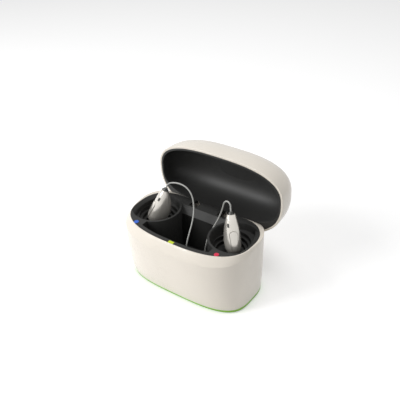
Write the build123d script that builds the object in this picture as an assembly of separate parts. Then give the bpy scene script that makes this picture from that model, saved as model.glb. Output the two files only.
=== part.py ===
from build123d import *
import os
from math import copysign, cos, pi, radians, sin, sqrt, tan

os.makedirs("parts", exist_ok=True)

# Frame: millimetres, +Z up, X along the case, the front faces -Y, origin on the ground under
# the middle of the case. The lid is modelled shut and then swung open, which is its rest pose.

# Case: half length, depth to the front and height of the rim
case_half_length = 44.0
case_front = 28.5
case_power = 2.86
rim_height = 43.7
wall = 2.0
flare_height = 33.4
foot_half_length = 42.5
foot_front = 22.1
foot_rear = 23.9
foot_power = 3.4
ground_gap = 0.6
trim_height = 1.9

# Crease where the front wall turns into the sloping shoulder
crease_height = 42.6
crease_slope = 0.18
shoulder_rise = 5.67
shoulder_reach = 4.0
shoulder_proud = 0.02

# Edge of the dark tray in the rim
rim_half_length = 42.9
rim_front = 25.4
rim_rear = 24.4
rim_power = 2.63
rim_land = 0.6
fit_gap = 0.1
deck_thickness = 1.6

# Hinge: one cross pin, low and inside the rounded rear edge
hinge_y = 16.0
hinge_z = 33.4
barrel_radius = 10.3
barrel_gap = 0.3
pin_radius = 1.0
pin_running_gap = 0.05
arm_middle = 10.5
arm_width = 5.0
arm_eye = 2.4
arm_rear = 3.0
arm_side_gap = 0.3
open_angle = 90.0

# Lid
lid_half_length = 45.8
lid_middle = -6.0
lid_front = 21.2
lid_rear = 29.4
lid_front_power = 2.8
lid_rear_power = 2.4
lid_height = 27.3
lid_end_round = 3.2
lid_side_round = 2.75
lid_wall = 1.3
liner_wall = 1.0
liner_gap = 0.15
bowl_rear = 18.5
bowl_power = 3.0
bowl_height = 22.4
bowl_end_round = 3.0
bowl_side_round = 3.1

# Wells and middle compartment of the tray
well_x = 29.5
well_y = 0.3
well_radius = 15.0
well_waist = 13.6
well_floor = 30.6
well_floor_radius = 10.0
tray_wall = 1.2
bin_floor = 15.5
bin_tip = 24.5
bin_front_land = 3.2
bin_rear = 12.0
bin_slope = 3.9
lip_gap = 1.3
end_inset = 3.2
edge_inset = 1.0
end_arc_radius = 31.0
end_arc_y = -1.2

# Cradles: terraces that climb towards the ends of the case
cradle_floor = 32.4
step_shift = 2.6
step_radii = (8.8, 10.6, 12.4)
step_heights = (34.6, 37.0, 39.4)
cradle_gap = 0.15

# Hearing aids as they stand in the wells
aid_foot = (30.2, -2.0, 32.8)
aid_lean = (-0.245, 0.257)
aid_length = 24.6
aid_width = 10.2
aid_depth = 12.6
aid_facing = 44.0
aid_power = 2.35
aid_flat = 33.0
aid_clearance = 0.45
button_low = 2.6
button_length = 12.6
button_width = 4.7
button_foot_width = 3.0
button_proud = 0.35
button_depth = 0.7
button_travel = 0.3
button_gap = 0.2
microphone_side = 2.6
microphone_height = 18.6
microphone_width = 1.0
microphone_length = 2.2

# Receiver wires, receivers and domes
wire_diameter = 0.9
cap_radius = 1.9
cap_tip_radius = 1.1
cap_height = 1.8
receiver_radius = 1.9
receiver_length = 7.0
dome_radius = 3.4
wire_lead = 1.9

# Charging pins
contact_spread = 2.0
contact_radius = 0.9
contact_depth = 1.2
pin_top_gap = 0.05
plunger_radius = 0.6
plunger_length = 3.0
plunger_travel = 0.8
sleeve_radius = 1.0
sleeve_wall_gap = 0.05
spring_length = 2.0
block_size = (8.0, 5.0)

# Markers and status light on the deck
marker_radius = 1.5
marker_height = 0.25
marker_x = 29.5
marker_y = -19.0
light_length = 3.6
light_depth = 2.0
light_x = 0.8
column_inset = 0.8
column_depth = 1.0
column_width = 2.0
lamp_top = 30.4
lamp_height = 1.0
lamp_gap = 0.1
lamp_board_thickness = 0.8
lamp_shelf_thickness = 1.6
light_gap = 0.1
channel_gap = 0.2

# Bottom, electronics and socket
cover_thickness = 2.0
cover_gap = 0.15
pad_half_length = 33.5
pad_front = 14.0
pad_rear = 19.0
pad_power = 3.0
pad_recess = 0.6
pad_round = 0.4
head_recess = 0.2
screw_x = 37.0
screw_y = 5.0
screw_radius = 1.0
screw_head_radius = 1.9
screw_head_height = 1.0
screw_reach = 9.0
boss_radius = 3.0
board_height = 6.4
board_thickness = 1.2
board_length = 58.0
board_front = 14.0
board_rear = 19.0
post_x = 25.0
post_y = 12.0
post_middle = 2.0
post_radius = 2.2
socket_size = (8.9, 7.4, 3.2)
socket_wall = 0.3
port_gap = 0.3

case_rear = hinge_y + barrel_radius - 0.1
deck_top = rim_height
deck_under = deck_top - deck_thickness
lid_base = hinge_z + barrel_radius + barrel_gap
shell_foot = ground_gap + trim_height
cover_low = ground_gap + 0.1
cover_top = cover_low + cover_thickness
big = 200.0


def spread(value, power):
    """A cosine or sine raised so that the outline follows a superellipse."""
    return copysign(abs(value) ** (2 / power), value)


def oval_points(half_length, front, rear, front_power, rear_power, middle=0.0, quarter=9):
    """Points round an oval that has its own depth and squareness in front and behind."""
    points = []
    for step in range(4 * quarter):
        turn = 2 * pi * step / (4 * quarter)
        power = front_power if sin(turn) < 0 else rear_power
        depth = front if sin(turn) < 0 else rear
        points.append((half_length * spread(cos(turn), power), middle + depth * spread(sin(turn), power)))
    return points


def face_through(points):
    """A flat face inside one smooth closed curve."""
    return make_face(Spline(*points, periodic=True))


def oval(height, *sizes):
    return face_through([(x, y, height) for x, y in oval_points(*sizes)])


def rise(face, amount):
    return extrude(face, amount=amount, dir=(0, 0, 1))


def block(x_low, x_high, y_low, y_high, z_low, z_high):
    middle = ((x_low + x_high) / 2, (y_low + y_high) / 2, (z_low + z_high) / 2)
    return Pos(*middle) * Box(x_high - x_low, y_high - y_low, z_high - z_low)


def rod(x, y, z_low, z_high, radius):
    return Pos(x, y, (z_low + z_high) / 2) * Cylinder(radius, z_high - z_low)


def cross_rod(y, z, radius, x_low, x_high):
    return Pos((x_low + x_high) / 2, y, z) * Rot(0, 90, 0) * Cylinder(radius, x_high - x_low)


def mirrored(shape):
    return mirror(shape, about=Plane.YZ)


# Outer form of the case
def case_sizes(height, inset=0.0):
    """Outline of the case at a height: it flares along a parabola up to flare_height."""
    share = 1 - (1 - min(height / flare_height, 1.0)) ** 2
    half_length = foot_half_length + (case_half_length - foot_half_length) * share
    front = foot_front + (case_front - foot_front) * share
    rear = foot_rear + (case_rear - foot_rear) * share
    power = foot_power + (case_power - foot_power) * share
    return half_length - inset, front - inset, rear - inset, power, power


def case_form(low, high, inset=0.0):
    """Solid inside the case's outline between two heights."""
    steps = 4
    flare_top = min(high, flare_height)
    heights = [low + (flare_top - low) * step / steps for step in range(steps + 1)]
    form = loft([oval(height, *case_sizes(height, inset)) for height in heights])
    if high > flare_height:
        form += rise(oval(flare_height, *case_sizes(flare_height, inset)), high - flare_height)
    return form


def rim_sizes(inset=0.0):
    return rim_half_length - inset, rim_front - inset, rim_rear - inset, rim_power, rim_power


def rim_prism(inset, low, high):
    return rise(oval(low, *rim_sizes(inset)), high - low)


def top_limit(skin):
    """Space under the flat deck and the round rear edge, both lowered by the skin."""
    ahead = block(-big, big, -big, hinge_y, -big, rim_height - skin)
    round_edge = cross_rod(hinge_y, hinge_z, barrel_radius - skin, -big, big)
    behind = block(-big, big, hinge_y, hinge_y + barrel_radius - skin, -big, hinge_z)
    return ahead + round_edge + behind


crease_tilt = Plane(origin=(0, 0, crease_height), x_dir=(1, 0, 0), z_dir=(0, -crease_slope, 1))
below_crease = crease_tilt * Pos(0, 0, -big / 2) * Box(big, big, big)


def shoulder_outline(rise_above):
    """Outline of the shoulder on the crease's tilted plane, or on the plane above it.

    The lower one stands a little proud of the case, whose own form trims it. The upper one runs on
    along straight lines from the crease through the rim. Where the crease nears the rim those lines
    lie almost flat, so their reach is limited and the shoulder fades out.
    """
    points = []
    crease_points = oval_points(*case_sizes(flare_height))
    for (x, y), (rim_x, rim_y) in zip(crease_points, oval_points(*rim_sizes())):
        height = crease_height + crease_slope * y
        climb = rim_height - height - crease_slope * (rim_y - y)
        share = rise_above / climb if climb * shoulder_reach > rise_above else shoulder_reach
        share = share if rise_above else -shoulder_proud
        place_y = y + share * (rim_y - y)
        points.append((x + share * (rim_x - x), place_y, crease_height + crease_slope * place_y + rise_above))
    return face_through(points)


shoulder = loft([shoulder_outline(0), shoulder_outline(shoulder_rise)], ruled=True)
case_outside = case_form(shell_foot, rim_height) & (below_crease + shoulder) & top_limit(0)

# Slots that the two lid arms swing through
slot_low = hinge_z - arm_rear - 0.2
arm_slots = Part()
for side in (-1, 1):
    slot_half = arm_width / 2 + arm_side_gap
    left = side * arm_middle - slot_half
    right = side * arm_middle + slot_half
    arm_slots += block(left, right, hinge_y - arm_eye - 0.4, big / 2, slot_low, big / 2)

# Outer shell with its screw bosses and the port for the socket
room_top = 36.0
room = case_form(shell_foot - 1, room_top, wall) + rim_prism(1.9, room_top - 0.01, big / 2)
tray_seat = rim_prism(rim_land - fit_gap, 30, big / 2) - top_limit(deck_thickness + fit_gap)
socket_y = case_sizes(board_height)[2]
port_height = board_height + board_thickness + socket_size[2] / 2
port = Pos(0, socket_y, port_height) * Box(socket_size[0] + 2 * port_gap, 12, socket_size[2] + 2 * port_gap)
port = fillet(port.edges().filter_by(Axis.Y), 1.6)
boss_top = 16.0
boss_low = cover_top + 0.1
bosses = Part()
boss_holes = Part()
for x_side in (-1, 1):
    for y_side in (-1, 1):
        bosses += rod(x_side * screw_x, y_side * screw_y, boss_low, boss_top, boss_radius)
        boss_holes += rod(x_side * screw_x, y_side * screw_y, 0, boss_top - 2, screw_radius)
boss_ribs = block(-big, big, -screw_y - 1, -screw_y + 1, boss_low, boss_top)
boss_ribs += block(-big, big, screw_y - 1, screw_y + 1, boss_low, boss_top)
boss_ribs &= block(-big, -screw_x, -9, 9, 0, boss_top) + block(screw_x, big, -9, 9, 0, boss_top)
bosses = (bosses + boss_ribs) & case_form(shell_foot, boss_top + 1, wall - 0.2)
outer_shell = (case_outside - room - tray_seat - arm_slots - port + bosses) - boss_holes

# Green trim ring and bottom cover
trim_outside = loft([oval(height, *case_sizes(height)) for height in (ground_gap, ground_gap + trim_height)])
base_trim = trim_outside - case_form(0.2, shell_foot + 1, wall)
bottom_cover = case_form(cover_low, cover_top, wall + cover_gap)
pad_sizes = (pad_half_length, pad_front, pad_rear, pad_power, pad_power)
base_pad = rise(oval(0, *pad_sizes), cover_low + pad_recess)
base_pad = fillet(base_pad.edges().group_by(Axis.Z)[0], pad_round)
bottom_cover -= rise(oval(0, *pad_sizes), cover_low + pad_recess)
cover_screws = Part()
for x_side in (-1, 1):
    for y_side in (-1, 1):
        place_x = x_side * screw_x
        place_y = y_side * screw_y
        head_low = cover_low + head_recess
        head_top = head_low + screw_head_height
        head = rod(place_x, place_y, head_low, head_top, screw_head_radius)
        slot = Pos(place_x, place_y, head_low) * (Box(2.4, 0.5, 0.8) + Box(0.5, 2.4, 0.8))
        shank = rod(place_x, place_y, head_top, screw_reach, screw_radius)
        cover_screws += head - slot + shank
        bottom_cover -= rod(place_x, place_y, 0, head_top, screw_head_radius + 0.1)
        bottom_cover -= rod(place_x, place_y, 0, cover_top + 1, screw_radius + 0.1)
        post_place_y = y_side * post_y + post_middle
        bottom_cover += rod(x_side * post_x, post_place_y, cover_top - 0.1, board_height, post_radius)


# Tray: deck, two bowls and the middle compartment, all one moulding
def bowl(grow, floor):
    """Round well turned about its own upright axis, made larger by its wall thickness."""
    mouth = rim_height + 1.0
    profile = Plane.XZ * Polygon(
        (0, floor),
        (well_floor_radius + grow, floor),
        (well_waist - 0.9 + grow, floor + 4.0),
        (well_waist + 0.6 + grow, deck_under - 4.0),
        (well_radius + 0.2 + grow, mouth),
        (0, mouth),
        align=None,
    )
    return Pos(well_x, well_y, 0) * revolve(profile, axis=Axis.Z)


def end_limit(grow):
    """Keeps a well inside the end of the case, with a chamfered upper edge."""
    reach = end_arc_radius - end_inset + grow
    mouth = end_arc_radius - edge_inset + grow
    profile = Plane.XZ * Polygon(
        (0, well_floor - 5),
        (reach, well_floor - 5),
        (reach, deck_under),
        (mouth, rim_height),
        (mouth, rim_height + 0.8),
        (0, rim_height + 0.8),
        align=None,
    )
    return Pos(rim_half_length - end_arc_radius, end_arc_y, 0) * revolve(profile, axis=Axis.Z)


def bin_space(grow, floor):
    """Middle compartment between the two wells, with a sloping upper rear wall."""
    tip = bin_tip + grow
    rear = bin_rear - bin_slope + grow
    slope_low = rim_height - bin_slope
    top = rim_height + 2.0
    profile = Plane.YZ * Polygon(
        (-big / 4, floor),
        (rear, floor),
        (rear, slope_low),
        (rear + bin_slope + 2.0, top),
        (-big / 4, top),
        align=None,
    )
    space = extrude(profile, amount=tip, both=True)
    for side in (-1, 1):
        space -= rod(side * well_x, well_y, floor - 1, big / 2, well_radius + lip_gap - grow)
    return space & rim_prism(bin_front_land - grow, floor - 1, top + 1)


deck = (rim_prism(rim_land, 30, rim_height + 1) & top_limit(0)) - top_limit(deck_thickness)
well = bowl(0, well_floor) & end_limit(0)
well_low = well_floor - tray_wall
well_outside = rod(well_x, well_y, well_low, deck_under + 0.4, well_radius + tray_wall)
well_outside &= rim_prism(end_inset - tray_wall + 0.1, well_low - 1, rim_height)
bin_outside = bin_space(tray_wall, bin_floor - tray_wall) & block(-big, big, -big, big, 0, deck_under + 0.5)
tray = deck + bin_outside
tray = tray + (well_outside & top_limit(0.5))
tray = tray + (mirrored(well_outside) & top_limit(0.5))
tray = tray - bin_space(0, bin_floor)
tray = tray - well
tray = tray - mirrored(well)
tray = tray - arm_slots
light_y = -(rim_front - rim_land)
light_reach = light_y + light_depth
light_hole = block(
    light_x - light_length / 2 - light_gap,
    light_x + light_length / 2 + light_gap,
    -big / 2,
    light_reach + light_gap,
    deck_under - light_gap,
    big,
)
marker_hole = rod(marker_x, marker_y, deck_top - 0.8, big / 2, marker_radius + 0.05)
tray = tray - light_hole - marker_hole - mirrored(marker_hole)

# Coloured side markers and the status light on the front edge
right_marker = rod(marker_x, marker_y, deck_top - 0.8, deck_top + marker_height, marker_radius)
right_marker = fillet(right_marker.edges().group_by(Axis.Z)[-1], 0.2)
left_marker = mirrored(right_marker)
light_front = -rim_front + column_inset
light_rear = light_front + column_depth
light_low = light_x - light_length / 2
light_high = light_x + light_length / 2
column_low = light_x - column_width / 2
column_high = light_x + column_width / 2
light_plate = block(light_low, light_high, -big / 2, light_reach, 0, big)
light_plate &= rim_prism(rim_land, deck_under, deck_top)
status_light = light_plate + block(column_low, column_high, light_front, light_rear, lamp_top, deck_under)
light_channel = block(
    column_low - channel_gap,
    column_high + channel_gap,
    light_front - channel_gap,
    light_rear + 2,
    lamp_top,
    deck_under + light_gap,
)
lamp_low = lamp_top - lamp_gap - lamp_height
status_lamp = block(column_low, column_high, light_front, light_rear, lamp_low, lamp_top - lamp_gap)
lamp_board_low = lamp_low - lamp_board_thickness
lamp_board = block(light_x - 4, light_x + 4, -big / 2, light_rear, lamp_board_low, lamp_low)
lamp_board &= case_form(20, room_top, wall + 0.1)
lamp_shelf_low = lamp_board_low - lamp_shelf_thickness
lamp_shelf = block(light_x - 3, light_x + 3, -big / 2, light_rear, lamp_shelf_low, lamp_board_low)
lamp_shelf &= case_form(20, room_top, wall - 0.3)
outer_shell = outer_shell - light_channel + lamp_shelf


# Hearing aids: sections carried up a leaning line, for the right-hand aid
lean_x, lean_y = aid_lean
aid_up = Vector(lean_x, lean_y, sqrt(1 - lean_x**2 - lean_y**2))
facing = Vector(sin(radians(aid_facing)), -cos(radians(aid_facing)), 0)
aid_front = (facing - aid_up * facing.dot(aid_up)).normalized()
aid_side = aid_up.cross(aid_front)
aid_plane = Plane(origin=aid_foot, x_dir=aid_side, z_dir=aid_up)


def aid_shape(share):
    """Width, depth and forward bulge of the housing at a share of its length."""
    foot_round = sqrt(max(0.0, 1 - (1 - min((share + 0.03) / 0.3, 1.0)) ** 2))
    taper = 1 - 0.50 * max(0.0, (share - 0.34) / 0.66) ** 1.7
    depth_taper = 1 - 0.66 * max(0.0, (share - 0.34) / 0.66) ** 1.9
    bulge = 1.5 * sin(pi * min(1.0, max(0.0, share))) ** 1.2
    return aid_width * foot_round * taper, aid_depth * foot_round * depth_taper, bulge


def aid_section(share, height, grow):
    """One closed section of the housing, square to the leaning line."""
    width, depth, bulge = aid_shape(share)
    outline = oval_points(width / 2 + grow, depth / 2 + grow, depth / 2 + grow, aid_power, aid_power, 0.0, 5)
    return face_through([aid_plane.from_local_coords((x, bulge - y, height)) for x, y in outline])


def aid_form(grow):
    """Housing form, made larger on every side by a margin."""
    steps = 8
    shares = [step / steps for step in range(steps + 1)]
    return loft([aid_section(share, share * aid_length, grow) for share in shares])


def aid_way(grow):
    """Lower end of the housing carried straight up, the space it needs while it is lifted out."""
    widest = 0.36
    steps = 4
    shares = [-0.02 + (widest + 0.02) * step / steps for step in range(steps + 1)]
    sections = [aid_section(share, share * aid_length, grow) for share in shares]
    return loft(sections) + loft([sections[-1], aid_section(widest, aid_length, grow)], ruled=True)


def button_outline(grow):
    """Tapered outline with round ends, drawn on a plane ahead of the housing."""
    front_plane = Plane(origin=aid_foot, x_dir=aid_side, z_dir=aid_front)
    top = button_low + button_length
    wide = button_width / 2
    narrow = button_foot_width / 2
    shape = make_hull(
        (Pos(0, button_low + narrow) * Circle(narrow + grow)).edges()
        + (Pos(0, top - wide) * Circle(wide + grow)).edges()
    )
    return extrude(front_plane * shape, amount=20)


aid_core = aid_form(0)
flat_cut = block(-big, big, -big, big, -big, aid_flat)
pocket = button_outline(button_gap) - aid_form(-button_depth - button_travel - 0.2)
housing = aid_core - flat_cut - pocket
button = (button_outline(0) & aid_form(button_proud)) - aid_form(-button_depth)

cap_low = aid_length - 0.3
wire_cap = aid_plane * Pos(0, 0, cap_low + cap_height / 2) * Cone(cap_radius, cap_tip_radius, cap_height)
housing -= aid_plane * Pos(0, 0, cap_low + cap_height / 2) * Cylinder(cap_radius, cap_height)
slit = Box(microphone_width, 20, microphone_length)
screens = aid_plane * Pos(-microphone_side, -10, microphone_height) * slit
screens = (screens & aid_form(0.05)) - aid_form(-0.5)
housing -= screens
contacts = Part()
for side in (-1, 1):
    offset = aid_front * (side * contact_spread)
    contact_x = aid_foot[0] + offset.X
    contact_y = aid_foot[1] + offset.Y
    contacts += rod(contact_x, contact_y, aid_flat, aid_flat + contact_depth, contact_radius)
housing -= contacts

# Cradles with a pocket for the aid and holes for the charging pins
cradle_space = bowl(-cradle_gap, well_floor + cradle_gap) & end_limit(-cradle_gap)
cradle = cradle_space & block(0, big, -big, big, 0, cradle_floor)
for radius, height in zip(step_radii, step_heights):
    terrace = cradle_space & block(0, big, -big, big, well_floor + 1, height)
    cradle += terrace - rod(well_x - step_shift, well_y - 1.0, 0, big / 2, radius)
cradle -= aid_way(aid_clearance)
pins = {}
sleeves = Part()
springs = {}
blocks = Part()
pin_top = aid_flat - pin_top_gap
pin_low = pin_top - plunger_length
spring_low = pin_low - spring_length
sleeve_top = pin_top - plunger_travel - 0.2
for name, side in (("front", 1), ("rear", -1)):
    offset = aid_front * (side * contact_spread)
    x = aid_foot[0] + offset.X
    y = aid_foot[1] + offset.Y
    plunger = rod(x, y, pin_low, pin_top, plunger_radius)
    pins[name] = fillet(plunger.edges().group_by(Axis.Z)[-1], 0.25)
    springs[name] = rod(x, y, spring_low, pin_low, plunger_radius - 0.05) - rod(x, y, 0, 50, 0.35)
    sleeve = rod(x, y, spring_low - 0.6, sleeve_top, sleeve_radius)
    sleeves += sleeve - rod(x, y, spring_low, sleeve_top + 1, plunger_radius + sleeve_wall_gap)
    cradle -= rod(x, y, 0, big / 2, sleeve_radius + 0.05)
    tray -= rod(x, y, 0, sleeve_top + 1, sleeve_radius + 0.05)
    tray -= rod(-x, y, 0, sleeve_top + 1, sleeve_radius + 0.05)
block_top = well_floor - tray_wall
pin_block = Pos(aid_foot[0], aid_foot[1], block_top - 2.0) * Rot(0, 0, aid_facing - 90) * Box(*block_size, 4.0)
for name, side in (("front", 1), ("rear", -1)):
    offset = aid_front * (side * contact_spread)
    pin_block -= rod(aid_foot[0] + offset.X, aid_foot[1] + offset.Y, 0, 50, sleeve_radius)
right_cradle = cradle

# Receiver wires: straight runs joined by arcs, from the cap down into the compartment
cap_tip = Vector(*aid_foot) + aid_up * (cap_low + cap_height)
cap_exit = (cap_tip.X, cap_tip.Y, cap_tip.Z)
lead = cap_tip + aid_up * wire_lead
left_route = [
    (-cap_exit[0], cap_exit[1], cap_exit[2]),
    (-lead.X, lead.Y, lead.Z),
    (-22.1, 5.6, 60.7),
    (-18.8, 6.1, 62.1),
    (-14.0, 6.6, 62.6),
    (-9.2, 7.0, 61.3),
    (-5.2, 6.6, 57.3),
    (-2.6, 4.4, 52.2),
    (-0.7, 1.0, 46.8),
    (0.5, -3.8, 41.4),
    (1.3, -8.5, 36.6),
    (1.9, -11.4, 31.7),
    (1.6, -12.2, 26.2),
]
right_route = [
    cap_exit,
    (lead.X, lead.Y, lead.Z),
    (22.8, 5.8, 61.1),
    (21.2, 6.2, 62.3),
    (19.3, 6.5, 62.0),
    (17.7, 6.8, 60.2),
    (16.8, 6.9, 56.4),
    (15.3, 6.5, 51.0),
    (13.6, 4.9, 45.9),
    (11.8, 2.6, 41.0),
    (10.6, 0.1, 36.3),
    (9.8, -1.7, 31.5),
    (9.5, -2.3, 26.2),
]


def wire_along(route, label):
    """Tube of straight runs joined by tangent arcs as large as the runs allow."""
    corners = [Vector(*point) for point in route]
    runs = [(corners[i + 1] - corners[i]).length for i in range(len(corners) - 1)]
    radii = []
    for i in range(1, len(corners) - 1):
        turn = radians((corners[i] - corners[i - 1]).get_angle(corners[i + 1] - corners[i]))
        radii.append(0.45 * min(runs[i - 1], runs[i]) / tan(turn / 2))
    path = FilletPolyline(*route, radius=radii)
    start = Plane(origin=route[0], z_dir=corners[1] - corners[0])
    tube = sweep(start * Circle(wire_diameter / 2), path=path)
    section = pi * wire_diameter**2 / 4
    print(label, "arc radii", [round(radius, 1) for radius in radii])
    print(label, "length", round(path.length, 1))
    print(label, "volume", round(tube.volume, 2), "of", round(section * path.length, 2))
    return tube


left_wire = wire_along(left_route, "left wire")
right_wire = wire_along(right_route, "right wire")


# Receivers and soft domes at the wires' ends
def receiver_at(route):
    """Small capsule that carries on straight from the wire's end, and the dome round its tip."""
    end = Vector(*route[-1])
    way = (end - Vector(*route[-2])).normalized()
    seat = Plane(origin=end, z_dir=way)
    capsule = seat * Pos(0, 0, receiver_length / 2) * Cylinder(receiver_radius, receiver_length)
    capsule = fillet(capsule.edges(), 0.5)
    return capsule, seat


def dome_on(seat):
    """Mushroom of soft rubber: a hollow half ball with the receiver's tip in its crown."""
    tip = receiver_length
    outside = Sphere(dome_radius) & Pos(0, 0, dome_radius) * Box(20, 20, 2 * dome_radius)
    inside = Sphere(dome_radius - 0.5) & Pos(0, 0, dome_radius) * Box(20, 20, 2 * dome_radius)
    stem = Pos(0, 0, dome_radius / 2) * Cylinder(1.4, dome_radius)
    cup = outside - inside + (stem & Sphere(dome_radius))
    return seat * Pos(0, 0, tip) * (cup - Pos(0, 0, dome_radius / 2) * Cylinder(0.6, 2 * dome_radius))


left_receiver, left_seat = receiver_at(left_route)
right_receiver, right_seat = receiver_at(right_route)
left_dome = dome_on(left_seat)
right_dome = dome_on(right_seat)

# Hinge pin and the brackets that hold it to the rear wall
cheek = 3.0
inner_cheek = arm_middle - arm_width / 2 - arm_side_gap
outer_cheek = arm_middle + arm_width / 2 + arm_side_gap
bracket_rear = hinge_y + barrel_radius - wall - 0.15
bracket = Part()
for low, high in ((inner_cheek - cheek, inner_cheek), (outer_cheek, outer_cheek + cheek)):
    bracket += block(low, high, hinge_y, bracket_rear, slot_low - 4, hinge_z + 2.6)
    bracket += cross_rod(hinge_y, hinge_z, 2.6, low, high)
plate_low = inner_cheek - cheek
plate_high = outer_cheek + cheek
bracket += block(plate_low, plate_high, bracket_rear - 2.5, bracket_rear, slot_low - 7, slot_low - 2)
bracket &= case_form(12, room_top, wall + 0.15)
bracket -= cross_rod(hinge_y, hinge_z, pin_radius, -big / 2, big / 2)
bracket -= Pos(arm_middle, bracket_rear, slot_low - 4.5) * Rot(90, 0, 0) * Cylinder(screw_radius, 20)
hinge_pin = cross_rod(hinge_y, hinge_z, pin_radius, -outer_cheek - cheek, outer_cheek + cheek)
hinge_pin = chamfer(hinge_pin.edges(), 0.2)
screw_z = slot_low - 4.5
screw_tip = Pos(arm_middle, bracket_rear - 0.65, screw_z) * Rot(90, 0, 0) * Cylinder(screw_radius, 3.7)
screw_head = Pos(arm_middle, bracket_rear - 3.1, screw_z) * Rot(90, 0, 0) * Cylinder(screw_head_radius, 1.2)
bracket_screw = screw_tip + screw_head - Pos(arm_middle, bracket_rear - 3.7, screw_z) * Box(2.6, 0.8, 0.5)
outer_shell = outer_shell - screw_tip - mirrored(screw_tip)


# Lid, modelled shut
def lid_sizes(inset=0.0):
    return (
        lid_half_length - inset,
        lid_front - inset,
        lid_rear - inset,
        lid_front_power,
        lid_rear_power,
        lid_middle,
    )


def dome_form(sizes, height, base, end_round, side_round):
    """Crowned lid form: each level shrinks along its own round law for the ends and the sides."""
    half_length, front, rear, front_power, rear_power, middle = sizes
    sections = []
    for share in (0.0, 0.28, 0.5, 0.68, 0.82, 0.91, 0.965, 0.99):
        along = (1 - share**end_round) ** (1 / end_round)
        across = (1 - share**side_round) ** (1 / side_round)
        level = (half_length * along, front * across, rear * across, front_power, rear_power, middle)
        sections.append(oval(base + share * height, *level))
    return loft(sections)


lid_outside = dome_form(lid_sizes(), lid_height, lid_base, lid_end_round, lid_side_round)
lid_inside = dome_form(lid_sizes(lid_wall), lid_height - lid_wall, lid_base, lid_end_round, lid_side_round)
lid_shell = lid_outside - lid_inside
skin_half_length, skin_front = lid_sizes(lid_wall + liner_gap)[:2]
bowl_skin = (skin_half_length, skin_front, bowl_rear + liner_wall, lid_front_power, bowl_power, lid_middle)
bowl_sizes = (
    skin_half_length - liner_wall,
    skin_front - liner_wall,
    bowl_rear,
    lid_front_power,
    bowl_power,
    lid_middle,
)
bowl_inside = dome_form(bowl_sizes, bowl_height, lid_base, bowl_end_round, bowl_side_round)
bowl_outside = dome_form(bowl_skin, bowl_height + liner_wall, lid_base, bowl_end_round, bowl_side_round)
flange = lid_inside & block(-big, big, -big, big, 0, lid_base + liner_wall)
lid_liner = (flange + bowl_outside) - bowl_inside
arms = Part()
for side in (-1, 1):
    left = side * arm_middle - arm_width / 2
    right = side * arm_middle + arm_width / 2
    arm = block(left, right, hinge_y - arm_eye, hinge_y + arm_rear, hinge_z, lid_base)
    arm += cross_rod(hinge_y, hinge_z, arm_eye, left, right)
    arms += arm - cross_rod(hinge_y, hinge_z, pin_radius + pin_running_gap, left - 1, right + 1)


def opened(shape):
    """Swings a lid piece from shut to its open rest pose about the hinge pin."""
    return Pos(0, hinge_y, hinge_z) * Rot(-open_angle, 0, 0) * Pos(0, -hinge_y, -hinge_z) * shape


# Circuit board, its parts, the status lamp and the charging socket
circuit_board = Pos(0, 0, board_height) * Box(board_length, board_front + board_rear, board_thickness)
circuit_board = Pos(0, (board_rear - board_front) / 2, board_thickness / 2) * circuit_board
board_top = board_height + board_thickness
board_parts = Part()
for x, y, length, width, height in (
    (-12, 2, 7, 7, 1.0),
    (6, -3, 5, 5, 0.9),
    (18, 6, 6, 4, 2.2),
    (-20, -6, 4, 3, 1.4),
    (14, -9, 3, 1.6, 0.8),
):
    board_parts += Pos(x, y, board_top + height / 2) * Box(length, width, height)
socket_middle = socket_y - wall / 2 - socket_size[1] / 2
tube_out = Pos(0, socket_middle, port_height) * Box(*socket_size)
tube_out = fillet(tube_out.edges().filter_by(Axis.Y), 1.3)
tube_in = Pos(0, socket_middle + 0.6, port_height) * Box(
    socket_size[0] - 2 * socket_wall, socket_size[1], socket_size[2] - 2 * socket_wall
)
tube_in = fillet(tube_in.edges().filter_by(Axis.Y), 1.0)
tongue = Pos(0, socket_middle - 0.6, port_height) * Box(6.6, socket_size[1] - 1.2, 0.7)
usb_socket = tube_out - tube_in + tongue

nodes = {
    "outer_shell": outer_shell,
    "base_trim": base_trim,
    "bottom_cover": bottom_cover,
    "base_pad": base_pad,
    "cover_screws": cover_screws,
    "tray": tray,
    "left_cradle": mirrored(right_cradle),
    "right_cradle": right_cradle,
    "left_marker": left_marker,
    "right_marker": right_marker,
    "status_light": status_light,
    "status_lamp": status_lamp,
    "lamp_board": lamp_board,
    "circuit_board": circuit_board,
    "board_parts": board_parts,
    "usb_socket": usb_socket,
    "pin_blocks": pin_block + mirrored(pin_block),
    "pin_sleeves": sleeves + mirrored(sleeves),
    "hinge_brackets": bracket + mirrored(bracket),
    "bracket_screws": bracket_screw + mirrored(bracket_screw),
    "hinge_pin": hinge_pin,
    "lid_shell": opened(lid_shell),
    "lid_liner": opened(lid_liner),
    "lid_arms": opened(arms),
    "left_aid_housing": mirrored(housing),
    "left_aid_button": mirrored(button),
    "left_aid_cap": mirrored(wire_cap),
    "left_aid_screens": mirrored(screens),
    "left_aid_contacts": mirrored(contacts),
    "left_wire": left_wire,
    "left_receiver": left_receiver,
    "left_dome": left_dome,
    "right_aid_housing": housing,
    "right_aid_button": button,
    "right_aid_cap": wire_cap,
    "right_aid_screens": screens,
    "right_aid_contacts": contacts,
    "right_wire": right_wire,
    "right_receiver": right_receiver,
    "right_dome": right_dome,
}
for name in ("front", "rear"):
    nodes["right_pin_" + name] = pins[name]
    nodes["left_pin_" + name] = mirrored(pins[name])
    nodes["right_spring_" + name] = springs[name]
    nodes["left_spring_" + name] = mirrored(springs[name])

for name, shape in nodes.items():
    export_step(shape, f"parts/{name}.step")
print(len(nodes), "nodes written")
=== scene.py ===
import math

import bpy
import numpy as np
from mathutils import Matrix, Vector


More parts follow.
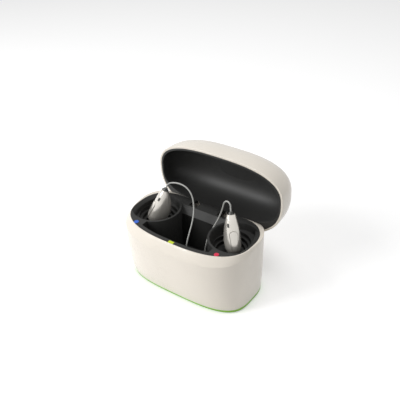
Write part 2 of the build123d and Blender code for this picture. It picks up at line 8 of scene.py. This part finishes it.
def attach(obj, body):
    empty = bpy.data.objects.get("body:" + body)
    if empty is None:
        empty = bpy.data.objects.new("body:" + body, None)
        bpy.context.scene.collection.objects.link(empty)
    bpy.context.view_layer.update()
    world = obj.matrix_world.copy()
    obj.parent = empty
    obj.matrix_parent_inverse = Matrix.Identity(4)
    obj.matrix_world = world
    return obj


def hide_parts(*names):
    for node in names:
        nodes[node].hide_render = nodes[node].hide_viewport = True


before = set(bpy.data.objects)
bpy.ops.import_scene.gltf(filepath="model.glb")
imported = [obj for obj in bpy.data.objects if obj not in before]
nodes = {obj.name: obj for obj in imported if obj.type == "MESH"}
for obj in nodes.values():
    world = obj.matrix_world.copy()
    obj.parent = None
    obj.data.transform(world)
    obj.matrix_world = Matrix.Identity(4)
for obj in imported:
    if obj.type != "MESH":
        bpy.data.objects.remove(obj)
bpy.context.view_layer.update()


# Outer shell of the case. A glossy off-white moulding with a faint pearl fleck, one wall thick,
# with a flat deck opening on top and a rounded rear edge that the lid turns about.
def add_socket(group, name, kind, way="INPUT", value=None):
    """One named input or output of a shader node group."""
    socket = group.interface.new_socket(name=name, in_out=way, socket_type=kind)
    if value is not None:
        socket.default_value = value
    return socket


def fleck_group():
    """Pearl fleck: the base colour times one plus the depth times the noise, less its middle value.

    The noise is a share of fine grain for sparkle and the rest of broad grain for drift, and the
    roughness follows the same noise by a small swing round the gloss that was asked for.
    """
    broad_scale = 45.0
    fine_share = 0.6
    noise_middle = 0.5
    gloss_swing = 0.12
    group = bpy.data.node_groups.new("pearl fleck", "ShaderNodeTree")
    add_socket(group, "Base", "NodeSocketColor", value=(0.8, 0.8, 0.8, 1))
    add_socket(group, "Fleck size", "NodeSocketFloat", value=9000.0)
    add_socket(group, "Depth", "NodeSocketFloat", value=0.05)
    add_socket(group, "Gloss", "NodeSocketFloat", value=0.3)
    add_socket(group, "Color", "NodeSocketColor", "OUTPUT")
    add_socket(group, "Roughness", "NodeSocketFloat", "OUTPUT")
    add_socket(group, "Height", "NodeSocketFloat", "OUTPUT")
    tree, link = group.nodes, group.links.new
    inside = tree.new("NodeGroupInput")
    outside = tree.new("NodeGroupOutput")
    place = tree.new("ShaderNodeTexCoord")
    fine = tree.new("ShaderNodeTexNoise")
    fine.inputs["Detail"].default_value = 1.0
    broad = tree.new("ShaderNodeTexNoise")
    broad.inputs["Scale"].default_value = broad_scale
    broad.inputs["Detail"].default_value = 2.0
    link(place.outputs["Object"], fine.inputs["Vector"])
    link(place.outputs["Object"], broad.inputs["Vector"])
    link(inside.outputs["Fleck size"], fine.inputs["Scale"])
    both = tree.new("ShaderNodeMath")
    both.operation = "MULTIPLY_ADD"
    both.inputs[1].default_value = fine_share
    link(fine.outputs["Fac"], both.inputs[0])
    drift = tree.new("ShaderNodeMath")
    drift.operation = "MULTIPLY"
    drift.inputs[1].default_value = 1 - fine_share
    link(broad.outputs["Fac"], drift.inputs[0])
    link(drift.outputs[0], both.inputs[2])
    centred = tree.new("ShaderNodeMath")
    centred.operation = "SUBTRACT"
    centred.inputs[1].default_value = noise_middle
    link(both.outputs[0], centred.inputs[0])
    scaled = tree.new("ShaderNodeMath")
    scaled.operation = "MULTIPLY_ADD"
    scaled.inputs[2].default_value = 1.0
    link(centred.outputs[0], scaled.inputs[0])
    link(inside.outputs["Depth"], scaled.inputs[1])
    tint = tree.new("ShaderNodeVectorMath")
    tint.operation = "SCALE"
    link(inside.outputs["Base"], tint.inputs[0])
    link(scaled.outputs[0], tint.inputs["Scale"])
    link(tint.outputs[0], outside.inputs["Color"])
    gloss = tree.new("ShaderNodeMath")
    gloss.operation = "MULTIPLY_ADD"
    gloss.inputs[1].default_value = gloss_swing
    link(centred.outputs[0], gloss.inputs[0])
    link(inside.outputs["Gloss"], gloss.inputs[2])
    link(gloss.outputs[0], outside.inputs["Roughness"])
    link(fine.outputs["Fac"], outside.inputs["Height"])
    return group


fleck = fleck_group()


grain_relief = 0.00005
coat_roughness = 0.08


def moulded(
    name, color, gloss, fleck_size=9000.0, depth=0.05, bump=0.02, coat=0.0, metal=0.0, specular=0.5
):
    """Plastic or paint whose colour, gloss and grain come from the fleck group."""
    material = bpy.data.materials.new(name)
    material.use_nodes = True
    tree = material.node_tree
    shader = tree.nodes["Principled BSDF"]
    grain = tree.nodes.new("ShaderNodeGroup")
    grain.node_tree = fleck
    grain.inputs["Base"].default_value = (*color, 1)
    grain.inputs["Fleck size"].default_value = fleck_size
    grain.inputs["Depth"].default_value = depth
    grain.inputs["Gloss"].default_value = gloss
    tree.links.new(grain.outputs["Color"], shader.inputs["Base Color"])
    tree.links.new(grain.outputs["Roughness"], shader.inputs["Roughness"])
    if bump:
        relief = tree.nodes.new("ShaderNodeBump")
        relief.inputs["Strength"].default_value = bump
        relief.inputs["Distance"].default_value = grain_relief
        tree.links.new(grain.outputs["Height"], relief.inputs["Height"])
        tree.links.new(relief.outputs["Normal"], shader.inputs["Normal"])
    shader.inputs["Metallic"].default_value = metal
    shader.inputs["Specular IOR Level"].default_value = specular
    shader.inputs["Coat Weight"].default_value = coat
    shader.inputs["Coat Roughness"].default_value = coat_roughness
    material.diffuse_color = (*color, 1)
    return material


def finish_nodes(material, *names):
    """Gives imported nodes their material."""
    for name in names:
        mesh = nodes[name].data
        mesh.materials.clear()
        mesh.materials.append(material)


weld_distance = 0.000002
bevel_segments = 3
sharp_angle = math.radians(28.0)


def round_edges(name, width):
    """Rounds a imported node: loose triangles are welded, then every sharp edge is bevelled."""
    item = nodes[name]
    weld = item.modifiers.new("weld", "WELD")
    weld.merge_threshold = weld_distance
    bevel = item.modifiers.new("bevel", "BEVEL")
    bevel.limit_method = "ANGLE"
    bevel.angle_limit = sharp_angle
    bevel.width = width
    bevel.segments = bevel_segments
    bevel.use_clamp_overlap = True
    bevel.harden_normals = True


pearl = moulded("pearl plastic", (0.80, 0.742, 0.655), 0.28, depth=0.04, coat=0.35)
finish_nodes(pearl, "outer_shell")
round_edges("outer_shell", 0.0004)

# Bottom of the case: the green ring that shows below the shell, the cover that closes it,
# its four screws, and the oval non-slip pad that the case stands on.
green = moulded("green gloss plastic", (0.22, 0.52, 0.008), 0.3, depth=0.06)
finish_nodes(green, "base_trim")
cover_plastic = moulded("cover plastic", (0.66, 0.63, 0.57), 0.5, fleck_size=3500.0, bump=0.1)
finish_nodes(cover_plastic, "bottom_cover")
rubber = moulded("non-slip rubber", (0.02, 0.02, 0.02), 0.75, fleck_size=2500.0, bump=0.25)
finish_nodes(rubber, "base_pad")
steel = moulded("screw steel", (0.55, 0.55, 0.56), 0.32, fleck_size=2500.0, bump=0.05, metal=1.0)
finish_nodes(steel, "cover_screws", "bracket_screws", "hinge_pin")

# Electronics inside: the board with its parts, the small board with the status lamp,
# and the charging socket in the rear wall.
solder_mask = moulded("solder mask", (0.01, 0.09, 0.03), 0.35, fleck_size=1800.0, bump=0.1)
finish_nodes(solder_mask, "circuit_board", "lamp_board")
chip_plastic = moulded("chip plastic", (0.012, 0.012, 0.013), 0.6, fleck_size=5000.0, bump=0.2)
finish_nodes(chip_plastic, "board_parts")
socket_steel = moulded("socket steel", (0.62, 0.62, 0.63), 0.28, fleck_size=3000.0, bump=0.03, metal=1.0)
finish_nodes(socket_steel, "usb_socket")
lamp_resin = moulded("lamp resin", (0.75, 0.74, 0.60), 0.2, depth=0.03, bump=0.0)
finish_nodes(lamp_resin, "status_lamp")

# Tray: one charcoal moulding with the deck, the two wells and the middle compartment,
# finely textured in the tool, and the two terraced cradles that lie in the wells.
charcoal = moulded(
    "charcoal plastic",
    (0.023, 0.023, 0.022),
    0.55,
    fleck_size=4200.0,
    depth=0.25,
    bump=0.12,
    specular=0.3,
)
round_edges("tray", 0.00025)
finish_nodes(charcoal, "tray", "left_cradle", "right_cradle", "pin_blocks", "hinge_brackets", "lid_arms")

# Side markers and status light: two domed pips pressed into the deck, blue for the left ear
# and red for the right, and the end of the light guide in the front edge.
blue = moulded("blue marker plastic", (0.02, 0.12, 0.62), 0.3, depth=0.05)
finish_nodes(blue, "left_marker")
red = moulded("red marker plastic", (0.68, 0.012, 0.06), 0.3, depth=0.05)
finish_nodes(red, "right_marker")
light = moulded("status light guide", (0.52, 0.62, 0.015), 0.25, depth=0.05, bump=0.0)
light.node_tree.nodes["Principled BSDF"].inputs["Emission Color"].default_value = (0.6, 0.75, 0.01, 1)
light.node_tree.nodes["Principled BSDF"].inputs["Emission Strength"].default_value = 0.12
finish_nodes(light, "status_light")

# Lid: a pearl outer cover moulded in one crowned piece, and inside it the charcoal liner with
# its deep bowl and narrow flange, pressed in from the open side.
finish_nodes(pearl, "lid_shell")
round_edges("lid_shell", 0.0003)
liner_plastic = moulded(
    "liner plastic",
    (0.028, 0.028, 0.027),
    0.50,
    fleck_size=4200.0,
    depth=0.2,
    bump=0.10,
    specular=0.4,
)
finish_nodes(liner_plastic, "lid_liner")
round_edges("lid_liner", 0.0003)

# Charging pins: gold-plated brass plungers in gold-plated sleeves, two under each aid, pushed up
# by springs of drawn steel wire.
gold = moulded("gold plating", (0.75, 0.50, 0.16), 0.25, fleck_size=5000.0, metal=1.0)
spring_wire = moulded("spring wire", (0.50, 0.50, 0.52), 0.3, fleck_size=5000.0, metal=1.0)
finish_nodes(gold, "pin_sleeves")
for side in ("left", "right"):
    for place in ("front", "rear"):
        finish_nodes(gold, f"{side}_pin_{place}")
        finish_nodes(spring_wire, f"{side}_spring_{place}")

# Hearing aids: lacquered silver shells with a push button, a dark cap where the wire leaves,
# a microphone slit beside the button and a pair of gold contacts underneath.
silver = moulded(
    "pearl silver lacquer",
    (0.76, 0.725, 0.665),
    0.22,
    fleck_size=12000.0,
    depth=0.12,
    coat=0.6,
    metal=0.6,
)
dark_gloss = moulded("dark grey gloss", (0.035, 0.035, 0.033), 0.3, fleck_size=6000.0, bump=0.02)
dome_rubber = moulded("dome silicone", (0.10, 0.10, 0.10), 0.5, fleck_size=3000.0, bump=0.05)
for side in ("left", "right"):
    finish_nodes(silver, f"{side}_aid_housing", f"{side}_aid_button")
    finish_nodes(dark_gloss, f"{side}_aid_cap", f"{side}_aid_screens", f"{side}_receiver")
    finish_nodes(gold, f"{side}_aid_contacts")
    finish_nodes(dome_rubber, f"{side}_dome")

# Receiver wires: thin silver-grey leads that arch out of the caps and hang down into the
# middle compartment, where each ends in its receiver and dome.
wire_diameter = 0.0009
cap_mouth = (0.023806, 0.004708, 0.057199)
wire_lead = (0.023340, 0.005196, 0.058975)
routes = {
    "left": [
        (-cap_mouth[0], cap_mouth[1], cap_mouth[2]),
        (-wire_lead[0], wire_lead[1], wire_lead[2]),
        (-0.0221, 0.0056, 0.0607),
        (-0.0188, 0.0061, 0.0621),
        (-0.0140, 0.0066, 0.0626),
        (-0.0092, 0.0070, 0.0613),
        (-0.0052, 0.0066, 0.0573),
        (-0.0026, 0.0044, 0.0522),
        (-0.0007, 0.0010, 0.0468),
        (0.0005, -0.0038, 0.0414),
        (0.0013, -0.0085, 0.0366),
        (0.0019, -0.0114, 0.0317),
        (0.0016, -0.0122, 0.0262),
    ],
    "right": [
        cap_mouth,
        wire_lead,
        (0.0228, 0.0058, 0.0611),
        (0.0212, 0.0062, 0.0623),
        (0.0193, 0.0065, 0.0620),
        (0.0177, 0.0068, 0.0602),
        (0.0168, 0.0069, 0.0564),
        (0.0153, 0.0065, 0.0510),
        (0.0136, 0.0049, 0.0459),
        (0.0118, 0.0026, 0.0410),
        (0.0106, 0.0001, 0.0363),
        (0.0098, -0.0017, 0.0315),
        (0.0095, -0.0023, 0.0262),
    ],
}
wire_skin = moulded("wire jacket", (0.42, 0.42, 0.40), 0.35, fleck_size=9000.0, depth=0.05, bump=0.02)
for side, route in routes.items():
    line = bpy.data.curves.new(f"{side} wire line", "CURVE")
    line.dimensions = "3D"
    spline = line.splines.new("NURBS")
    spline.points.add(len(route) - 1)
    for point, place in zip(spline.points, route):
        point.co = (*place, 1)
    spline.order_u = 3
    spline.use_endpoint_u = True
    spline.resolution_u = 12
    line.bevel_depth = wire_diameter / 2
    line.bevel_resolution = 6
    line.use_fill_caps = True
    line.materials.append(wire_skin)
    wire = bpy.data.objects.new(f"{side}_wire_lead", line)
    bpy.context.collection.objects.link(wire)
    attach(wire, f"{side}_aid")
    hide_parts(f"{side}_wire")

# Floor and backdrop: plain white paper laid flat. It is lifted to white for the rays that show
# the background only, so it lights nothing and keeps the object's soft shadow.
floor_half = 1.5
paper_lift = 0.36
bpy.ops.mesh.primitive_plane_add(size=2 * floor_half)
floor = bpy.context.object
floor.name = "paper_floor"
paper = bpy.data.materials.new("white paper")
paper.use_nodes = True
tree = paper.node_tree
shader = tree.nodes["Principled BSDF"]
shader.inputs["Base Color"].default_value = (0.9, 0.9, 0.9, 1)
shader.inputs["Roughness"].default_value = 0.9
shader.inputs["Specular IOR Level"].default_value = 0.0
shader.inputs["Emission Color"].default_value = (1, 1, 1, 1)


def seen_rays(tree):
    """1 for rays that show the background: straight to the camera, by reflection or through glass."""
    rays = tree.nodes.new("ShaderNodeLightPath")
    shown = tree.nodes.new("ShaderNodeMath")
    shown.operation = "MAXIMUM"
    tree.links.new(rays.outputs["Is Camera Ray"], shown.inputs[0])
    tree.links.new(rays.outputs["Is Glossy Ray"], shown.inputs[1])
    all_shown = tree.nodes.new("ShaderNodeMath")
    all_shown.operation = "MAXIMUM"
    tree.links.new(shown.outputs[0], all_shown.inputs[0])
    tree.links.new(rays.outputs["Is Transmission Ray"], all_shown.inputs[1])
    return all_shown.outputs[0]


lift = tree.nodes.new("ShaderNodeMath")
lift.operation = "MULTIPLY"
lift.inputs[1].default_value = paper_lift
tree.links.new(seen_rays(tree), lift.inputs[0])
tree.links.new(lift.outputs[0], shader.inputs["Emission Strength"])
floor.data.materials.append(paper)

# Studio light: a broad soft lamp from the upper left front, a weaker one from above,
# and an even pale world that shows white behind the object.
world = bpy.data.worlds.new("studio")
bpy.context.scene.world = world
world.use_nodes = True
world.node_tree.nodes["Background"].inputs["Color"].default_value = (1, 1, 1, 1)
world_light = 0.31
sky = world.node_tree.nodes.new("ShaderNodeMath")
sky.operation = "MULTIPLY_ADD"
sky.inputs[1].default_value = 1 - world_light
sky.inputs[2].default_value = world_light
world.node_tree.links.new(seen_rays(world.node_tree), sky.inputs[0])
world.node_tree.links.new(sky.outputs[0], world.node_tree.nodes["Background"].inputs["Strength"])


def soft_lamp(name, place, target, size, power):
    """Square area lamp that faces a point."""
    data = bpy.data.lights.new(name, "AREA")
    data.shape = "RECTANGLE"
    data.size, data.size_y = size
    data.energy = power
    lamp = bpy.data.objects.new(name, data)
    bpy.context.collection.objects.link(lamp)
    lamp.location = place
    lamp.rotation_euler = (Vector(target) - Vector(place)).to_track_quat("-Z", "Y").to_euler()
    return lamp


soft_lamp("key lamp", (-0.42, -0.50, 0.45), (0, 0, 0.03), (0.40, 0.40), 4.1)
soft_lamp("top lamp", (0.05, 0.10, 0.75), (0, 0, 0.03), (0.5, 0.3), 1.8)

# Camera: set at the photograph's viewing angle, from the right of the front and above. The
# numbers were solved from the rim, crease, base and lid outlines in the photograph.
azimuth = math.radians(37.25)
elevation = math.radians(37.75)
roll = math.radians(-2.61)
distance = 0.37048
aim = Vector((0, 0, 0.0264))
focal_pixels = 591.84
frame_pixels = 400
aim_pixel = (194.69, 244.13)
back = Vector((
    math.sin(azimuth) * math.cos(elevation),
    -math.cos(azimuth) * math.cos(elevation),
    math.sin(elevation),
))
level = (-back).cross(Vector((0, 0, 1))).normalized()
upright = level.cross(-back)
across = math.cos(roll) * level + math.sin(roll) * upright
above = -math.sin(roll) * level + math.cos(roll) * upright
lens = bpy.data.cameras.new("studio camera")
lens.sensor_width = 36
lens.lens = focal_pixels / frame_pixels * lens.sensor_width
lens.shift_x = (frame_pixels / 2 - aim_pixel[0]) / frame_pixels
lens.shift_y = (aim_pixel[1] - frame_pixels / 2) / frame_pixels
lens.clip_start = 0.01
camera = bpy.data.objects.new("studio camera", lens)
bpy.context.collection.objects.link(camera)
turn = Matrix((across, above, back)).transposed().to_4x4()
camera.matrix_world = Matrix.Translation(aim + back * distance) @ turn
bpy.context.scene.camera = camera
bpy.context.scene.view_settings.view_transform = "Standard"
